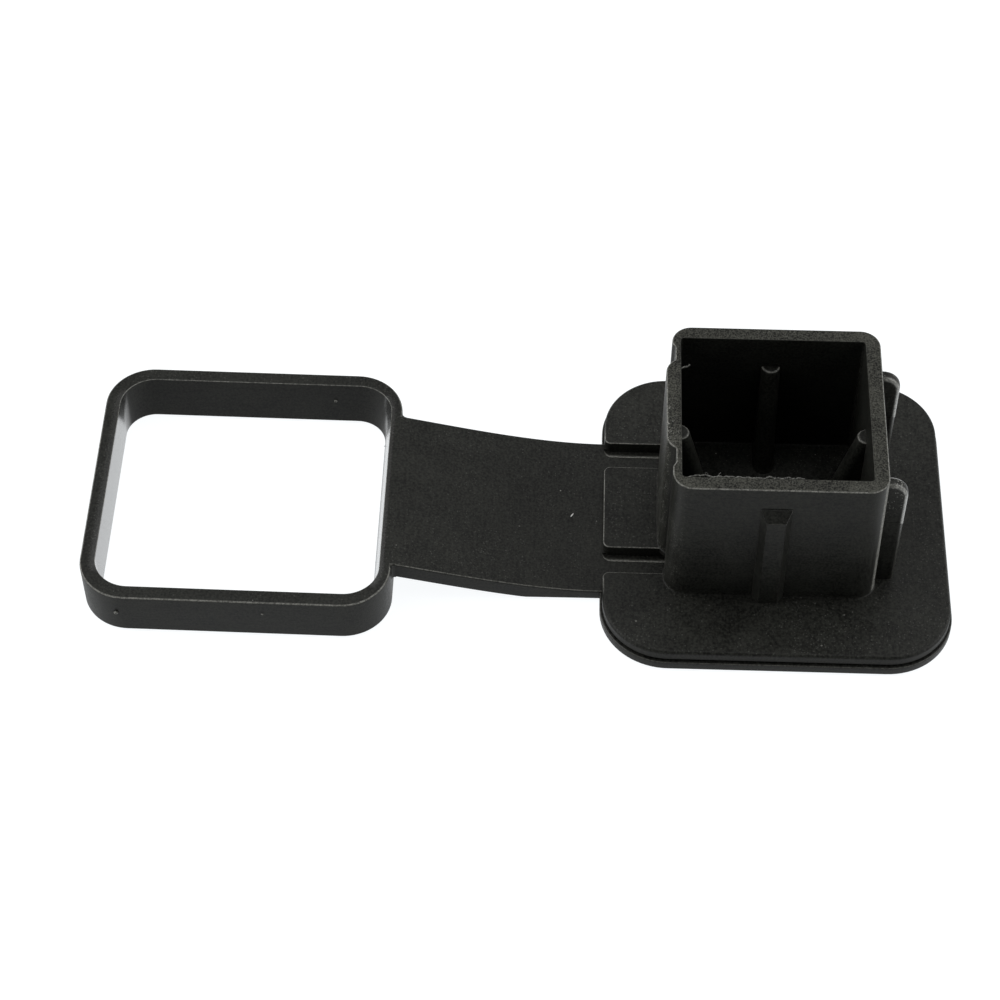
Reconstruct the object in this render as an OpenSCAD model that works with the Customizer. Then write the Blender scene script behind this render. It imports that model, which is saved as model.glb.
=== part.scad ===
// Push-in cover for a square receiver tube, moulded in one piece of rubber.
// It lies on its outer face: the flange is centred on the origin, the plug points
// up along +Z, and the strap and the loop run out along -X.

/* [Flange] */
// Width of the flange, along the strap
flange_width = 82; // [60:1:130]
// Depth of the flange, across the strap
flange_depth = 84.6; // [60:0.2:130]
// Full thickness of the flange
flange_thickness = 5.8; // [4.5:0.1:10]
// Corner radius of the flange
flange_corner_radius = 15.5; // [6:0.5:25]
// Thickness of the outer lip, below the parting groove
lip_thickness = 2.6; // [1.5:0.1:4]
// How far the outer lip stands out past the flange
lip_overhang = 0.6; // [0:0.1:1.5]
// Height of the parting groove round the flange
groove_height = 0.5; // [0.3:0.1:1]
// Depth of the parting groove
groove_depth = 0.6; // [0.3:0.1:1.5]

/* [Plug] */
// Width of the plug over its grip pad, at the rim
plug_width = 50.2; // [40:0.1:70]
// Depth of the plug, at the rim
plug_depth = 49.4; // [40:0.1:70]
// Height of the plug above the flange
plug_height = 38.9; // [20:0.1:60]
// Shift of the plug from the flange centre, towards the strap
plug_shift = 2.2; // [0:0.1:5]
// Outer corner radius of the plug
plug_corner_radius = 4.7; // [2:0.1:8]
// How much wider each side of the plug is at its base
plug_draft = 0.45; // [0:0.05:1]
// Wall thickness of the plug
wall_thickness = 3.6; // [3:0.1:6]
// Thickness of the rubber that closes the bottom of the plug
floor_thickness = 7; // [5:0.1:12]

/* [Strap side of the plug] */
// Width of the raised tab on the flange
tab_width = 25.6; // [16:0.1:32]
// Width of the grip pad
pad_width = 27; // [16:0.1:32]
// Shift of the grip pad towards the back
pad_shift = 0.7; // [0:0.1:2]
// Corner radius of the grip pad
pad_radius = 4.7; // [2.5:0.1:6]
// Width of the slot on each side of the grip pad
notch_width = 4.3; // [3:0.1:6]
// Depth of those slots below the pad face
notch_depth = 2.3; // [1:0.1:3]
// How far the corner beads stand back from the pad face
bead_setback = 1.3; // [0.5:0.1:2]
// Width of the two channels across the flange
channel_width = 7.3; // [4:0.1:10]
// Radius of the fillet at the foot of the channel walls
channel_fillet = 0.8; // [0.2:0.1:1.5]
// Corner radius of the raised tab and of the channel mouths
tab_radius = 1.5; // [0.4:0.1:2.5]

/* [Ribs] */
// Distance from the rim down to the top of the long outer ribs
rib_drop = 6.7; // [1:0.1:15]
// How far those ribs stand out from the wall, at the rim
rib_out = 2.1; // [1:0.1:3]
// Width of their foot on the wall
rib_foot = 7.2; // [4:0.1:10]
// Width of their crest
rib_crest = 3.8; // [2:0.1:6]
// Distance from the rim down to the top of the two fins
fin_drop = 4; // [1:0.1:15]
// How far the fins stand out from the wall
fin_out = 5.1; // [2:0.1:8]
// Thickness of the fins
fin_thickness = 3.2; // [1.5:0.1:5]
// Distance from the front corner of the plug to the front fin
front_fin_inset = 5.5; // [4.8:0.1:15]
// Distance from the back corner of the plug to the back fin
back_fin_inset = 8.3; // [4.8:0.1:15]
// Distance from the rim down to the top of the four inner gussets
gusset_drop = 9.3; // [1:0.1:15]
// Radius of the gussets' round crest
gusset_radius = 2.3; // [1:0.1:4]
// How far the gussets stand into the plug at their top
gusset_top = 1.9; // [0.5:0.1:3]
// How far the gussets stand into the plug at its floor
gusset_foot = 9.6; // [3:0.1:14]

/* [Strap] */
// Width of the strap
strap_width = 46; // [20:0.2:60]
// Thickness of the strap where it hangs free
strap_thickness = 4.9; // [3:0.1:8]
// Free length of the strap between the flange and the loop
strap_length = 50; // [25:1:120]

/* [Loop] */
// Outside length of the loop, along the strap
loop_length = 73.5; // [60:0.5:120]
// Outside width of the loop, across the strap
loop_width = 71.6; // [60:0.2:120]
// Height of the loop
loop_height = 12; // [6:0.5:30]
// Wall of the loop at its top edge
loop_wall = 3.2; // [2:0.1:6]
// How much thicker the loop wall is at its bottom edge
loop_draft = 1.1; // [0:0.1:2]
// Outer corner radius of the loop
loop_corner_radius = 11.5; // [6:0.5:20]

/* [Hidden] */
$fn = 72;

eps = 0.02;
edge = 0.45;
web_thickness = lip_thickness + groove_height;
rim_z = flange_thickness + plug_height;
plug_base_z = web_thickness - 0.4;
plug_rise = rim_z - plug_base_z;
taper_x = plug_width / (plug_width + 2 * plug_draft);
taper_y = plug_depth / (plug_depth + 2 * plug_draft);
plug_x = -plug_shift;
right_x = plug_x + plug_width / 2;
pad_x = plug_x - plug_width / 2;
bead_x = pad_x + bead_setback;
notch_x = pad_x + notch_depth;
cavity_width = plug_width - 2 * wall_thickness;
cavity_depth = plug_depth - 2 * wall_thickness;
wall_y = plug_depth / 2;
pad_overlap = pad_radius - sqrt(pad_radius * pad_radius - pow(pad_radius - notch_depth, 2));
root = wall_thickness * 0.45;
strap_start = -flange_width / 2;
strap_end = strap_start - strap_length;
strap_rise = loop_height - web_thickness;
loop_x = strap_end - loop_length / 2;

// Rounded rectangle, centred
module rounded_rect(w, d, r) {
    offset(r = r) square([w - 2 * r, d - 2 * r], center = true);
}

// Flange outline, grown by g
module flange_outline(g) {
    rounded_rect(flange_width + 2 * g, flange_depth + 2 * g, flange_corner_radius + g);
}

// Flange outline with both channels cut out of its strap side, grown by g
module raised_outline(g) {
    intersection() {
        flange_outline(0);
        offset(r = g) offset(r = tab_radius) offset(delta = -tab_radius)
            difference() {
                flange_outline(0);
                for (s = [-1, 1])
                    translate([strap_start - 5, s * (tab_width + channel_width) / 2 - channel_width / 2])
                        square([pad_x - strap_start + 7, channel_width]);
            }
    }
}

// Outer outline of the plug at its rim
module plug_outline() {
    union() {
        offset(r = 1) offset(delta = -2) offset(r = 1)
            difference() {
                translate([bead_x, -plug_depth / 2]) square([right_x - bead_x, plug_depth]);
                for (s = [-1, 1])
                    translate([bead_x - 1, pad_shift + s * (pad_width + notch_width) / 2 - notch_width / 2])
                        square([notch_x - bead_x + 1, notch_width]);
                for (sx = [-1, 1], sy = [-1, 1])
                    plug_corner_cut(sx, sy);
            }
        translate([(pad_x + plug_x) / 2, pad_shift])
            rounded_rect(plug_x - pad_x, pad_width + 2 * pad_overlap, pad_radius);
    }
}

// Square corner less its round
module plug_corner_cut(sx, sy) {
    r = plug_corner_radius;
    cx = sx > 0 ? right_x - r : bead_x + r;
    cy = sy * (plug_depth / 2 - r);
    difference() {
        translate([sx > 0 ? cx : cx - r - 1, sy > 0 ? cy : cy - r - 1]) square(r + 1);
        translate([cx, cy]) circle(r);
    }
}

// Lip, parting groove and the raised layer of the flange
module flange() {
    linear_extrude(0.5) flange_outline(lip_overhang - edge);
    translate([0, 0, 0.5 - eps])
        linear_extrude(lip_thickness - 0.5 + eps) flange_outline(lip_overhang);
    translate([0, 0, lip_thickness - eps])
        linear_extrude(groove_height + eps) flange_outline(-groove_depth);
    translate([0, 0, lip_thickness + groove_height])
        linear_extrude(flange_thickness - lip_thickness - groove_height - edge) raised_outline(0);
    translate([0, 0, flange_thickness - edge - eps])
        linear_extrude(edge + eps) offset(delta = -edge) raised_outline(0);
    translate([0, 0, lip_thickness])
        linear_extrude(groove_height + channel_fillet * 0.8)
            intersection() {
                raised_outline(channel_fillet);
                flange_outline(-groove_depth);
            }
}

// Open square box that pushes into the receiver
module plug() {
    difference() {
        translate([plug_x, 0, plug_base_z])
            linear_extrude(plug_rise, scale = [taper_x, taper_y], slices = 1)
                scale([1 / taper_x, 1 / taper_y])
                    translate([-plug_x, 0]) plug_outline();
        translate([plug_x - cavity_width / 2, -cavity_depth / 2, floor_thickness])
            cube([cavity_width, cavity_depth, rim_z]);
    }
}

// Long rib on the outside of the front or the back wall
module outer_rib(side) {
    top = rim_z - rib_drop;
    slope = 1.35 * rib_out;
    intersection() {
        linear_extrude(top)
            polygon([
                [plug_x - rib_foot / 2, side * (wall_y - root)],
                [plug_x - rib_foot / 2, side * wall_y],
                [plug_x - rib_crest / 2, side * (wall_y + rib_out)],
                [plug_x + rib_crest / 2, side * (wall_y + rib_out)],
                [plug_x + rib_foot / 2, side * wall_y],
                [plug_x + rib_foot / 2, side * (wall_y - root)]
            ]);
        translate([plug_x - rib_foot, 0, 0])
            rotate([90, 0, 90])
                linear_extrude(2 * rib_foot)
                    polygon([
                        [side * (wall_y - root), web_thickness],
                        [side * (wall_y + rib_out + 1), web_thickness],
                        [side * (wall_y + rib_out + 1), top - slope],
                        [side * (wall_y + rib_out), top - slope],
                        [side * wall_y, top],
                        [side * (wall_y - root), top]
                    ]);
    }
}

// Narrow fin on the wall that faces away from the strap, with a round nose and shoulder
module fin(side) {
    inset = side > 0 ? back_fin_inset : front_fin_inset;
    fin_y = wall_y - inset - fin_thickness / 2;
    top = rim_z - fin_drop;
    shoulder = fin_out - 0.6;
    nose = fin_thickness * 0.42;
    intersection() {
        linear_extrude(top)
            translate([right_x + fin_out / 2 - root, side * fin_y])
                rounded_rect(fin_out + 2 * root, fin_thickness, nose);
        translate([0, side * fin_y + fin_thickness, 0])
            rotate([90, 0, 0])
                linear_extrude(2 * fin_thickness) {
                    translate([right_x - root, web_thickness])
                        square([root + fin_out, top - shoulder - web_thickness]);
                    translate([right_x - root, web_thickness])
                        square([root + fin_out - shoulder, top - web_thickness]);
                    translate([right_x + fin_out - shoulder, top - shoulder]) circle(shoulder);
                }
    }
}

// Gusset inside the plug: its round crest slopes from the wall down to the floor
module gusset(angle, reach) {
    r = gusset_radius;
    sink = 1;
    tall = rim_z - gusset_drop - floor_thickness;
    slope = (gusset_foot - gusset_top) / tall;
    translate([plug_x, 0, floor_thickness - sink])
        rotate([0, 0, angle])
            hull() {
                translate([reach - gusset_top + r, 0, 0])
                    cylinder(r = r, h = tall + sink, $fn = 32);
                translate([reach - gusset_foot - slope * sink + r, 0, 0])
                    cylinder(r = r, h = 0.1, $fn = 32);
            }
}

// Flat band that rises from the flange to the top of the loop
function rise(u) = strap_rise * u * u * (1.7 - 0.7 * u);
function strap_top(u) = web_thickness + rise(u);
function strap_low(u) = max(0, strap_top(u) - strap_thickness);

module strap() {
    n = 28;
    translate([0, strap_width / 2, 0])
        rotate([90, 0, 0])
            linear_extrude(strap_width)
                polygon(concat(
                    [[strap_start + 4, 0], [strap_start + 4, web_thickness]],
                    [for (i = [0:n]) [strap_start - strap_length * i / n, strap_top(i / n)]],
                    [[strap_end - loop_wall / 2, loop_height]],
                    [[strap_end - loop_wall / 2, strap_low(1)]],
                    [for (i = [n:-1:0]) [strap_start - strap_length * i / n, strap_low(i / n)]]
                ));
}

// Ring that goes round the outside of the receiver tube
module loop() {
    inner_l = loop_length - 2 * loop_wall;
    inner_w = loop_width - 2 * loop_wall;
    inner_r = loop_corner_radius - loop_wall;
    grow_l = inner_l / (inner_l - 2 * loop_draft);
    grow_w = inner_w / (inner_w - 2 * loop_draft);
    translate([loop_x, 0, 0])
        difference() {
            union() {
                linear_extrude(loop_height - edge)
                    rounded_rect(loop_length, loop_width, loop_corner_radius);
                translate([0, 0, loop_height - edge - eps])
                    linear_extrude(edge + eps)
                        rounded_rect(loop_length - 0.5, loop_width - 0.5, loop_corner_radius - 0.25);
            }
            translate([0, 0, -eps])
                linear_extrude(loop_height + 2 * eps, scale = [grow_l, grow_w], slices = 1)
                    rounded_rect(inner_l - 2 * loop_draft, inner_w - 2 * loop_draft, inner_r);
        }
}

module receiver_cover() {
    color([0.16, 0.16, 0.155])
    union() {
        flange();
        plug();
        strap();
        loop();
        for (s = [-1, 1]) {
            outer_rib(s);
            fin(s);
        }
        for (a = [0:90:270])
            gusset(a, a % 180 == 0 ? cavity_width / 2 : cavity_depth / 2);
    }
}

receiver_cover();
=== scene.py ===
# %% [markdown]
# # Rubber cover for a square receiver tube
#
# The object is one moulding in black rubber: a flange, a hollow square plug, a flat strap
# and a square loop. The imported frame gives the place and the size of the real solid, and
# everything below is drawn in that frame, in metres, so that nothing has to be fitted.

# %% Load the frame
import math
import bpy
import bmesh
from mathutils import Matrix, Vector


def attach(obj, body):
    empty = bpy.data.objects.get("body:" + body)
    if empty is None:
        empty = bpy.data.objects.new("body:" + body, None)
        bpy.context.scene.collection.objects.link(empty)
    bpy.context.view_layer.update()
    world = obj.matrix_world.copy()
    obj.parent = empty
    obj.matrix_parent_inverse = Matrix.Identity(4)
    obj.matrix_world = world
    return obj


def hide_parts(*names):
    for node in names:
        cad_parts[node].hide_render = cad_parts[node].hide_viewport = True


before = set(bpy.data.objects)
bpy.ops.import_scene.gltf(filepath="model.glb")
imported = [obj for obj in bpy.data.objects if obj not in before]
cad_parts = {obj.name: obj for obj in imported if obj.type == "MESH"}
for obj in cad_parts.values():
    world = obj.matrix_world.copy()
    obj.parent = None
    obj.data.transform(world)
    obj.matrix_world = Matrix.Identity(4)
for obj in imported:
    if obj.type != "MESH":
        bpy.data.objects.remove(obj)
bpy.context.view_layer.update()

# %% [markdown]
# ## Camera
#
# The photo was taken from the front and above with a long lens, so the sides of the plug
# hardly converge. Its place was found by fitting the outlines of flange, plug and loop, and
# it is given here as a viewing point and two directions. The rotation is built from those
# directions instead of from angles, because then nothing depends on an order of turns.

# %% Place the camera
MM = 0.001
view_point = Vector((-50.044, -403.894, 509.721)) * MM
view_direction = Vector((-0.02495, 0.62702, -0.77860)).normalized()
view_up = Vector((-0.02552, 0.77819, 0.62751)).normalized()
view_right = view_direction.cross(view_up).normalized()

camera_data = bpy.data.cameras.new("photo_camera")
camera_data.sensor_width = 36.0
camera_data.lens = 95.885
camera_data.clip_start = 0.01
camera = bpy.data.objects.new("photo_camera", camera_data)
bpy.context.scene.collection.objects.link(camera)
turn = Matrix((view_right, view_right.cross(view_direction), -view_direction)).transposed()
camera.matrix_world = Matrix.Translation(view_point) @ turn.to_4x4()
bpy.context.scene.camera = camera
print("camera height above the floor in mm:", round(view_point.z / MM, 1))

# %% [markdown]
# ## Rounded outlines
#
# Every edge of a rubber moulding is a little round, because rubber does not fill or leave a
# sharp mould corner. The edges could be rounded with a Bevel modifier, but it fails where
# short facets meet. So each form is drawn as a stack of outlines instead. An outline is a
# list of corners with a radius, and the same list can be grown or shrunk: a convex corner
# gains radius as it grows and a concave one loses it, so all outlines of a stack match point
# by point.

# %% Outline of straight lines and round corners
def outline(corners, grow=0.0):
    points = []
    count = len(corners)
    for i in range(count):
        x, y, radius, steps = corners[i]
        here = Vector((x, y))
        before = Vector(corners[i - 1][:2])
        after = Vector(corners[(i + 1) % count][:2])
        come = (here - before).normalized()
        leave = (after - here).normalized()
        n0 = Vector((come.y, -come.x))
        n1 = Vector((leave.y, -leave.x))
        corner = here + (n0 + n1) * (grow / (1.0 + n0.dot(n1)))
        turn_left = come.x * leave.y - come.y * leave.x
        side = 1.0 if turn_left > 0 else -1.0
        r = max(radius + side * grow, 0.02)
        bend = math.atan2(abs(turn_left), come.dot(leave))
        centre = corner - come * (r * math.tan(bend / 2)) - n0 * (side * r)
        for k in range(steps + 1):
            a = side * bend * k / steps
            c, s = math.cos(a), math.sin(a)
            points.append(centre + Vector((n0.x * c - n0.y * s, n0.x * s + n0.y * c)) * (side * r))
    return points


def rectangle(x0, x1, y0, y1, radius, steps=10):
    return [(x, y, radius, steps) for x, y in ((x1, y0), (x1, y1), (x0, y1), (x0, y0))]


print("points in a rounded rectangle:", len(outline(rectangle(0, 10, 0, 10, 2))))

# %% Mesh that collects the forms
# Three values are kept at each point for the material: how strong a painted highlight is
# along a rounded edge, how smooth a wall came out of the mould, and how much of the paler
# colour of trimmed rubber a surface gets, which on corners and the fins' tops is painted light
rubber = bmesh.new()
edge_highlight_layer = rubber.verts.layers.float.new("edge")
polish_layer = rubber.verts.layers.float.new("polish")
trim_and_light_layer = rubber.verts.layers.float.new("trim_and_light")


def ring(points, highlight_value=0.0):
    made = []
    for p in points:
        vert = rubber.verts.new(Vector(p) * MM)
        # The value sets how strongly a highlight is painted here
        vert[edge_highlight_layer] = highlight_value
        made.append(vert)
    return made


def skin(rings, closed=False):
    faces = []
    count = len(rings[0])
    pairs = list(zip(rings, rings[1:]))
    if closed:
        pairs.append((rings[-1], rings[0]))
    for low, high in pairs:
        for i in range(count):
            j = (i + 1) % count
            faces.append(rubber.faces.new((low[i], low[j], high[j], high[i])))
    return faces


def cap(points):
    return rubber.faces.new(points)


def closed_form(rings):
    faces = skin(rings)
    faces.append(cap(rings[0]))
    faces.append(cap(rings[-1]))
    bmesh.ops.recalc_face_normals(rubber, faces=faces)


def stack(corners, profile, place=lambda p, h: (p.x, p.y, h)):
    # A profile is a list of steps: how far the outline grows, its height and its painted highlight value
    rings = []
    for grow, height, highlight_value in profile:
        rings.append(ring([place(p, height) for p in outline(corners, grow)], highlight_value))
    return rings


def clamp(value, low=0.0, high=1.0):
    return min(max(value, low), high)


def rounding(z, r, top=True, grow=0.0, steps=3):
    made = []
    for k in range(steps + 1):
        a = math.pi / 2 * k / steps
        out = grow - r * (1 - math.cos(a))
        up = r * (1 - math.sin(a))
        # shine is the strength of the painted highlight along the round, greatest at its middle
        shine = math.sin(math.pi * k / steps)
        made.append((out, z - up if top else z + up, shine))
    return made if top else made[::-1]


# %% [markdown]
# ## Flange
#
# The flange covers the mouth of the receiver. It has a lip, a fine groove where the two
# mould halves part, and a thicker raised layer whose top edge is clearly round. Two
# channels cut that layer on the strap's side, so a tab stays between them. The channels
# could be cut out afterwards, but their edges are crisper than the outer one. So they are
# part of the layer's outline, and each point of it has its own mix of the two edges.

# %% Lip of the flange
flange_x, flange_y, flange_top = 41.0, 42.3, 5.8
flange_radius, lip_top, web_top = 15.5, 2.6, 3.1
flange_corners = rectangle(-flange_x, flange_x, -flange_y, flange_y, flange_radius, 20)
lip_profile = rounding(0.0, 0.5, top=False, grow=0.6)
# The lip's top round carries a weaker painted highlight
lip_profile += [(grow, z, 0.6 * shine) for grow, z, shine in rounding(lip_top, 0.35, grow=0.6)]
closed_form(stack(flange_corners, lip_profile))
print("flange lip over all in mm:", 2 * (flange_x + 0.6), "by", 2 * (flange_y + 0.6))

# %% Raised layer with the tab and the channels
tab_shift, tab_half, channel = 0.85, 12.5, 7.45
hidden_x = -24.6
tab_round = 1.6
raised_corners = [
    (flange_x, -flange_y, flange_radius, 20),
    (flange_x, flange_y, flange_radius, 20),
    (-flange_x, flange_y, flange_radius, 20),
    (-flange_x, tab_shift + tab_half + channel, tab_round, 8),
    (hidden_x, tab_shift + tab_half + channel, 0.1, 1),
    (hidden_x, tab_shift + tab_half, 0.1, 1),
    (-flange_x, tab_shift + tab_half, tab_round, 8),
    (-flange_x, tab_shift - tab_half, tab_round, 8),
    (hidden_x, tab_shift - tab_half, 0.1, 1),
    (hidden_x, tab_shift - tab_half - channel, 0.1, 1),
    (-flange_x, tab_shift - tab_half - channel, tab_round, 8),
    (-flange_x, -flange_y, flange_radius, 20),
]


def crisp_share(p):
    if p.x > -23.0:
        return 0.0
    return clamp((24.0 - abs(p.y - tab_shift)) / 3.0)


def raised_ring(soft, crisp, highlight_value):
    # The edge is soft round the outside and crisp along the tab and the channels, and the painted highlight
    # along it is strongest where it is crisp
    points = []
    rim_line = outline(raised_corners)
    for p, a, b in zip(rim_line, outline(raised_corners, soft[0]), outline(raised_corners, crisp[0])):
        share = crisp_share(p)
        moved = a.lerp(b, share)
        points.append((moved.x, moved.y, soft[1] * (1 - share) + crisp[1] * share))
    made = ring(points, highlight_value)
    for vert, p in zip(made, rim_line):
        vert[edge_highlight_layer] *= 0.3 + 0.7 * crisp_share(p)
    return made


raised_rings = [
    raised_ring((-0.6, lip_top - 0.1), (0.0, lip_top - 0.1), 0.0),
    raised_ring((-0.6, web_top - 0.1), (0.0, web_top - 0.1), 0.0),
    raised_ring((-0.3, web_top), (0.0, web_top), 0.0),
    raised_ring((0.0, web_top + 0.25), (0.0, web_top + 0.25), 0.0),
    raised_ring((0.0, web_top + 0.9), (0.0, web_top + 1.2), 0.0),
]
# The top round carries the painted highlight, taken from the crisp rounding
for soft, crisp in zip(rounding(flange_top, 0.85, steps=5), rounding(flange_top, 0.32, steps=5)):
    raised_rings.append(raised_ring(soft, crisp, crisp[2]))
closed_form(raised_rings)
print("points round the raised layer:", len(raised_rings[0]))

# %% [markdown]
# ## Plug
#
# The plug is an open box. Its outside is a little wider at the base so that it leaves the
# mould and seats firmly, and on the strap's side it carries a flat grip pad between two
# slots. Its rim is flat, with a fine round at both edges. Because the outside and the
# hollow have different outlines, the rim is the one face here that is filled between two
# loops of edges.

# %% Outside and hollow of the plug
plug_x, pad_x, right_x, bead_x, notch_x = -2.2, -27.5, 22.9, -26.1, -25.35
wall_y, rim_z, floor_z, draft = 24.7, 44.7, 7.0, 0.45
hollow_x0, hollow_x1, hollow_y = -24.0, 19.3, 21.1


def pad_side(shift, half, bead):
    # Bead, slot and the round end of the grip pad, from the corner inwards
    run = half - 1.366
    return [(bead_x, shift + bead + 0.9, 1.3, 6), (notch_x, shift + bead - 0.25, 1.3, 6),
            (notch_x, shift + half, 0.6, 5), (pad_x, shift + run, 4.1, 12)]


back_side = pad_side(0.7, 13.5, 17.8)
front_side = [(x, 1.4 - y, r, n) for x, y, r, n in pad_side(0.7, 13.5, 17.8)[::-1]]
plug_corners = [(right_x, -wall_y, 4.7, 14), (right_x, wall_y, 4.7, 14), (bead_x, wall_y, 4.7, 14)]
plug_corners += back_side + front_side
plug_corners += [(bead_x, -wall_y, 4.7, 14)]


def drafted(z):
    return draft * (1 - (z - web_top) / (rim_z - web_top))


plug_profile = []
for z, flare in [(4.5, 0.3), (5.8, 0.28), (5.9, 0.12), (6.1, 0.03), (6.5, 0.0), (18, 0), (30, 0)]:
    plug_profile.append((drafted(z) + flare, z, 0.0))
plug_profile += rounding(rim_z, 0.42)
hollow_corners = rectangle(hollow_x0, hollow_x1, -hollow_y, hollow_y, 0.7, 5)
outside = stack(plug_corners, plug_profile)
skin(outside)
inner_rings = []
# The third value of each step paints a highlight along the inner round of the rim
for grow, z, shine in [(0.3, rim_z, 0.2), (0.1, rim_z - 0.08, 0.45), (0.0, rim_z - 0.3, 0.1),
                       (0.0, 25.0, 0.0), (-0.05, floor_z + 0.8, 0.0), (-0.3, floor_z + 0.2, 0.0),
                       (-0.9, floor_z, 0.0)]:
    inner_rings.append(ring([(p.x, p.y, z) for p in outline(hollow_corners, grow)], shine))
skin(inner_rings)
cap(inner_rings[-1])
cap(outside[0])
print("wall at the rim in mm, right and front:", round(right_x - hollow_x1, 2), round(wall_y - hollow_y, 2))

# %% Painted highlights on the corners, and the rough face of the grip pad
# A painted highlight runs as a thin pale line down the corner between the front and the right
# wall, down the corners on the pad's side and round the pad's ends, and there it also mixes in
# the paler colour of trimmed rubber; the pad's face was trimmed
right_corner_highlights = {8: 0.5, 9: 1.3, 10: 1.4, 11: 1.4, 12: 1.4, 13: 1.4, 14: 1.0}
corner_highlights = []
for x, y, radius, steps in plug_corners:
    most = {bead_x: 0.4, pad_x: 0.45}.get(x, 0.0)
    corner_highlights += [most * math.sin(math.pi * k / steps) ** 2 for k in range(steps + 1)]
for k, corner_highlight in right_corner_highlights.items():
    corner_highlights[k] = corner_highlight
for made in outside[3:]:
    for vert, corner_highlight in zip(made, corner_highlights):
        pad_share = clamp((bead_x - vert.co.x / MM) / 0.9)
        vert[trim_and_light_layer] = max(0.75 * pad_share, min(0.5 * corner_highlight, 0.3))
        if vert.co.z < (rim_z - 0.3) * MM:
            vert[edge_highlight_layer] = 0.65 * corner_highlight
print("points round the plug:", len(corner_highlights))

# %% Rim between the two loops
def loop_edges(verts):
    pairs = zip(verts, verts[1:] + verts[:1])
    return [rubber.edges.get(pair) for pair in pairs]


rim_edges = loop_edges(outside[-1]) + loop_edges(inner_rings[0])
rim = bmesh.ops.triangle_fill(rubber, edges=rim_edges, use_beauty=True, normal=(0, 0, 1))
rim_faces = [g for g in rim["geom"] if isinstance(g, bmesh.types.BMFace)]
plug_faces = {f for r in outside + inner_rings for v in r for f in v.link_faces}
bmesh.ops.recalc_face_normals(rubber, faces=list(plug_faces))
print("faces of the rim:", len(rim_faces), "normal up:", rim_faces[0].normal.z > 0)

# %% [markdown]
# ## Ribs, fins and gussets
#
# On the front and back walls one long rib with a sloped top presses on the tube. Two thin
# fins stand on the right wall, with a round nose and shoulder. Inside, a gusset stiffens
# each wall: its crest starts near the rim and slopes to the floor. Booleans could join them
# to the walls, but they leave slivers on forms as low as these. So all of them are drawn as
# stacks too, each with its own foot inside the wall.

# %% Long outer ribs
rib_out, rib_foot, rib_crest, witness_z, roof_z = 2.1, 3.3, 2.2, 25.85, 35.0


def outer_rib(side):
    def section(out):
        foot = [(-rib_foot - 0.35, -1.5, 0.05, 1), (rib_foot + 0.35, -1.5, 0.05, 1)]
        narrow = (rib_foot + 0.3) + (rib_crest - rib_foot - 0.3) * min(max(out, 0.08) / rib_out, 1.0)
        low = [(rib_foot + 0.35, 0.05, 0.5, 4), (narrow, max(out, 0.08), 0.3, 4)]
        return foot + low + [(-x, y, r, n) for x, y, r, n in low[::-1]]

    # Height, share of the full depth and painted highlight value. The mould halves leave a fine
    # line, which carries a painted highlight, and above the roof's foot the rib slopes back into
    # the wall
    steps = [(5.0, 1.0, 0.0), (witness_z - 0.15, 1.0, 0.0), (witness_z, 0.95, 0.35)]
    steps += [(witness_z + 0.15, 0.975, 0.0), (roof_z, 1.0, 0.0), (roof_z + 0.2, 0.98, 0.5)]
    steps += [(roof_z + 0.4, 0.92, 0.0), (roof_z + 2.6, 0.12, 0.0), (roof_z + 2.95, 0.0, 0.4)]
    steps += [(roof_z + 3.1, -0.08, 0.0)]
    rings = []
    for z, share, shine in steps:
        flat = outline(section(rib_out * share))
        wall = wall_y + drafted(z)
        made = ring([(plug_x + side * p.x, side * (wall + p.y), z) for p in flat], shine)
        # Painted highlight lines along the rib's two foot corners and the two corners of its crest
        for k, value in ((6, 0.5), (11, 0.3), (16, 0.3), (21, 0.5)):
            made[k][edge_highlight_layer] = max(shine, value)
        # Above the roof's foot, one corner of the crest gets a brighter painted highlight
        if z > roof_z:
            made[16][edge_highlight_layer] = 0.95
        rings.append(made)
    closed_form(rings)


for side in (-1, 1):
    outer_rib(side)
print("outer ribs stand out", rib_out, "mm")

# %% Fins on the right wall
fin_places, fin_half, fin_foot, fin_tip, fin_top = (-17.6, 14.8), 1.6, 21.3, 28.0, 40.7


def fin(fin_y):
    # The lower part is a little thinner, because the mould halves part at this height
    upper = rectangle(fin_foot, fin_tip, 26.2, fin_top, 0.1, 1)
    upper = [upper[3], upper[0], (fin_tip, fin_top, 4.4, 10), upper[2]]
    lower = rectangle(fin_foot, fin_tip - 0.07, 4.5, 29.5, 0.1, 1)
    lower = [lower[3], lower[0], lower[1], lower[2]]
    # The round nose carries a painted highlight; the upper part gets the paler, speckled colour of trimmed
    # rubber towards the top, painted light that makes it look lit
    for corners, half, nose_highlight, rough in [(lower, fin_half - 0.07, 0.5, 0.0), (upper, fin_half, 1.2, 0.6)]:
        profile = []
        for k in range(6):
            a = math.pi / 2 * k / 5
            inset = -1.35 * (1 - math.sin(a))
            profile.append((inset, -half + 1.25 * (1 - math.cos(a)), nose_highlight * math.sin(2 * a) ** 2))
        profile += [(g, -h, s) for g, h, s in profile[::-1]]
        made = stack(corners, profile, place=lambda p, h: (p.x, fin_y + h, p.y))
        closed_form(made)
        # Paler towards the top as painted light, and glossy where the highlight is painted
        for vert in [v for r in made for v in r]:
            vert[trim_and_light_layer] = rough * clamp((vert.co.z / MM - 30.0) / 9.0)
            vert[polish_layer] = min(vert[edge_highlight_layer], 1.0)


for fin_y in fin_places:
    fin(fin_y)
print("fins reach x =", fin_tip, "mm")

# %% Gussets inside the plug
gusset_r, gusset_top_z, gusset_near, gusset_far = 2.3, 35.4, 1.9, 9.6


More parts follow.
